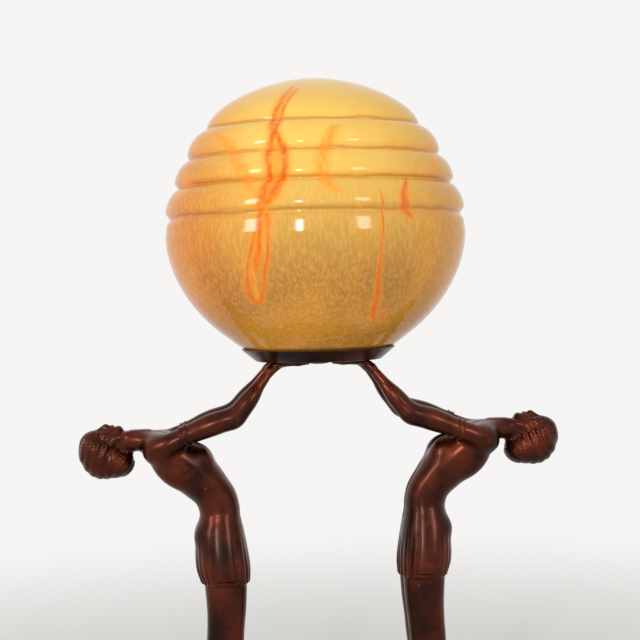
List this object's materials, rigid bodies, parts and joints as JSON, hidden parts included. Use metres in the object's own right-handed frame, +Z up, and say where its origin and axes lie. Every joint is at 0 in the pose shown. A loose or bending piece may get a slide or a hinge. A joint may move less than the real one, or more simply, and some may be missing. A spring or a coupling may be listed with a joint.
{
  "type": "figural table lamp",
  "caption": "Table lamp: back-arched cast dancers on an oblong plinth hold a shallow pan on their palms, which carries a stepped amber glass shade.",
  "frame": {"origin": "centre of the footprint at the surface that the lamp stands on", "axes": "+X along the line of the two figures, to the right seen from the front; +Y from front to back; +Z up"},
  "size_m": [0.4088, 0.2516, 0.6356],
  "materials": {
    "bronze_patina": "dark red-brown patina rubbed through to orange bronze on the high spots, satin",
    "amber_glass": "mottled amber and cream cased glass, glossy, translucent",
    "zinc_steel": "zinc plated, satin",
    "sheet_steel": "dark stove enamel, matt",
    "felt": "pressed felt, matt",
    "black_plastic": "moulded, matt",
    "aged_brass": "aged brass, satin",
    "porcelain": "unglazed white",
    "contact_metal": "bright",
    "clear_glass": "frosted inside, glossy outside",
    "cap_metal": "thread-rolled, satin"
  },
  "bodies": {
    "lamp": {"base_plinth": "bronze_patina", "base_cover_plate": "sheet_steel", "base_felt_pad": "felt", "cover_plate_screws": "zinc_steel", "cable_inlet_bush": "black_plastic", "terminal_block": "porcelain", "terminal_screw": "zinc_steel", "right_figure_body": "bronze_patina", "left_figure_body": "bronze_patina", "right_figure_front_arm": "bronze_patina", "right_figure_back_arm": "bronze_patina", "left_figure_front_arm": "bronze_patina", "left_figure_back_arm": "bronze_patina", "armlets": "bronze_patina", "foot_studs": "zinc_steel", "foot_washers": "zinc_steel", "foot_nuts": "zinc_steel", "gallery_pan": "bronze_patina", "pan_screws": "aged_brass", "shade_seat_ring": "felt", "nipple": "aged_brass", "nipple_lock_nut": "aged_brass", "nipple_washer": "aged_brass", "lampholder_cap": "aged_brass", "lampholder_insert": "porcelain", "lampholder_sleeve": "aged_brass", "thread_shell": "contact_metal", "centre_contact": "contact_metal", "insert_screws": "zinc_steel"},
    "shade": {"glass_shade": "amber_glass"},
    "bulb": {"bulb_contact": "contact_metal", "bulb_insulator": "black_plastic", "bulb_cap": "cap_metal", "bulb_glass": "clear_glass"}
  },
  "joints": [
    {"name": "shade_lift", "type": "slide", "parent": "lamp", "child": "shade", "axis": [0, 0, 1], "range_m": [0, 0.25]},
    {"name": "bulb_turn", "type": "hinge", "parent": "lamp", "child": "bulb", "pos_m": [0, 0, 0.44], "axis": [0, 0, 1], "range_deg": [0, 1080]}
  ]
}
